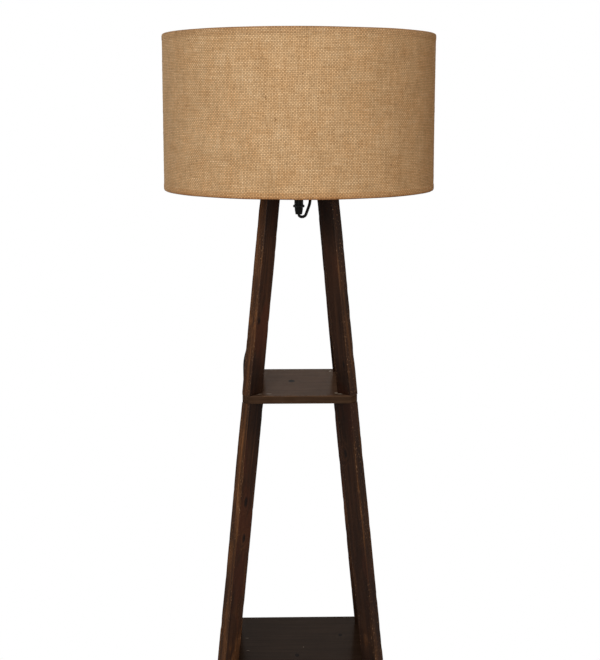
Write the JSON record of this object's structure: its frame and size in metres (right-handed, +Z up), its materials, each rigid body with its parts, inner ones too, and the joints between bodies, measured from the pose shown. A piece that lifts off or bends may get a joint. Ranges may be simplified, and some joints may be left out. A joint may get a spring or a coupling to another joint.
{
  "type": "shelf floor lamp",
  "caption": "Tall floor lamp on a tapering frame of splayed dark wooden boards with open shelves, under a round drum shade of natural woven jute.",
  "frame": {"origin": "on the floor, at the middle of the four feet, under the middle of the shade", "axes": "+Z up along the lamp; the front, with its shelf edges across, faces -Y; +X to the lamp's right as seen from the front"},
  "size_m": [0.4064, 0.4442, 1.219],
  "materials": {
    "stained_boards": "dark walnut stain, sawn grain, worn lighter edges",
    "stained_panels": "dark stain, satin",
    "beech": "plain turned beech",
    "jute": "natural jute, plain weave",
    "liner": "matt white sheet",
    "white_wire": "white paint",
    "zinc": "zinc plated",
    "black_shell": "black moulded plastic",
    "rocker_black": "smooth black",
    "soft_black": "soft black",
    "lead": "black flex",
    "wire": "brown insulation",
    "brass": "stamped brass",
    "plated_pins": "nickel plated",
    "porcelain": "glazed white",
    "frosted_glass": "white inside coat",
    "cap_metal": "rolled thread",
    "black_glass": "black glass"
  },
  "bodies": {
    "frame": {"upper_leg_front_left": "stained_boards", "upper_leg_front_right": "stained_boards", "upper_leg_rear_left": "stained_boards", "upper_leg_rear_right": "stained_boards", "middle_leg_front_left": "stained_boards", "middle_leg_front_right": "stained_boards", "middle_leg_rear_left": "stained_boards", "middle_leg_rear_right": "stained_boards", "foot_leg_front_left": "stained_boards", "foot_leg_front_right": "stained_boards", "foot_leg_rear_left": "stained_boards", "foot_leg_rear_right": "stained_boards", "top_plate": "stained_panels", "mid_shelf": "stained_panels", "lower_shelf": "stained_panels", "mid_shelf_dowels": "beech", "lower_shelf_dowels": "beech", "shade_cover": "jute", "shade_liner": "liner", "shade_top_ring": "white_wire", "shade_bottom_ring": "white_wire", "shade_spider": "white_wire", "threaded_tube": "zinc", "plate_washer": "zinc", "top_screws": "zinc", "clip_nails": "zinc", "switch_screws": "zinc", "rocker_pin": "zinc", "spacer_sleeve": "black_shell", "lock_nut": "black_shell", "holder_cap": "black_shell", "holder_shell": "black_shell", "clamp_ring": "black_shell", "switch_base": "black_shell", "switch_cover": "black_shell", "plug_body": "black_shell", "cable_clips": "black_shell", "cord_grip": "soft_black", "plug_relief": "soft_black", "switch_reliefs": "soft_black", "coil_tie": "soft_black", "foot_glides": "soft_black", "lead_on_frame": "lead", "lead_to_switch": "lead", "lead_to_coil": "lead", "lead_to_plug": "lead", "cord_coil": "lead", "holder_wires": "wire", "screw_shell": "brass", "centre_contact": "brass", "switch_terminals": "brass", "plug_pins": "plated_pins", "holder_insert": "porcelain"},
    "bulb": {"bulb_glass": "frosted_glass", "bulb_cap": "cap_metal", "bulb_tip": "cap_metal", "bulb_insulator": "black_glass"},
    "rocker": {"switch_rocker": "rocker_black"}
  },
  "joints": [
    {"name": "bulb_turn", "type": "hinge", "parent": "frame", "child": "bulb", "pos_m": [0, 0, 1.03], "axis": [0, 0, 1], "range_deg": [0, 900]},
    {"name": "rocker_tilt", "type": "hinge", "parent": "frame", "child": "rocker", "pos_m": [-0.086, 0.228, 0.01], "axis": [0, 1, 0], "range_deg": [-16, 0]}
  ]
}
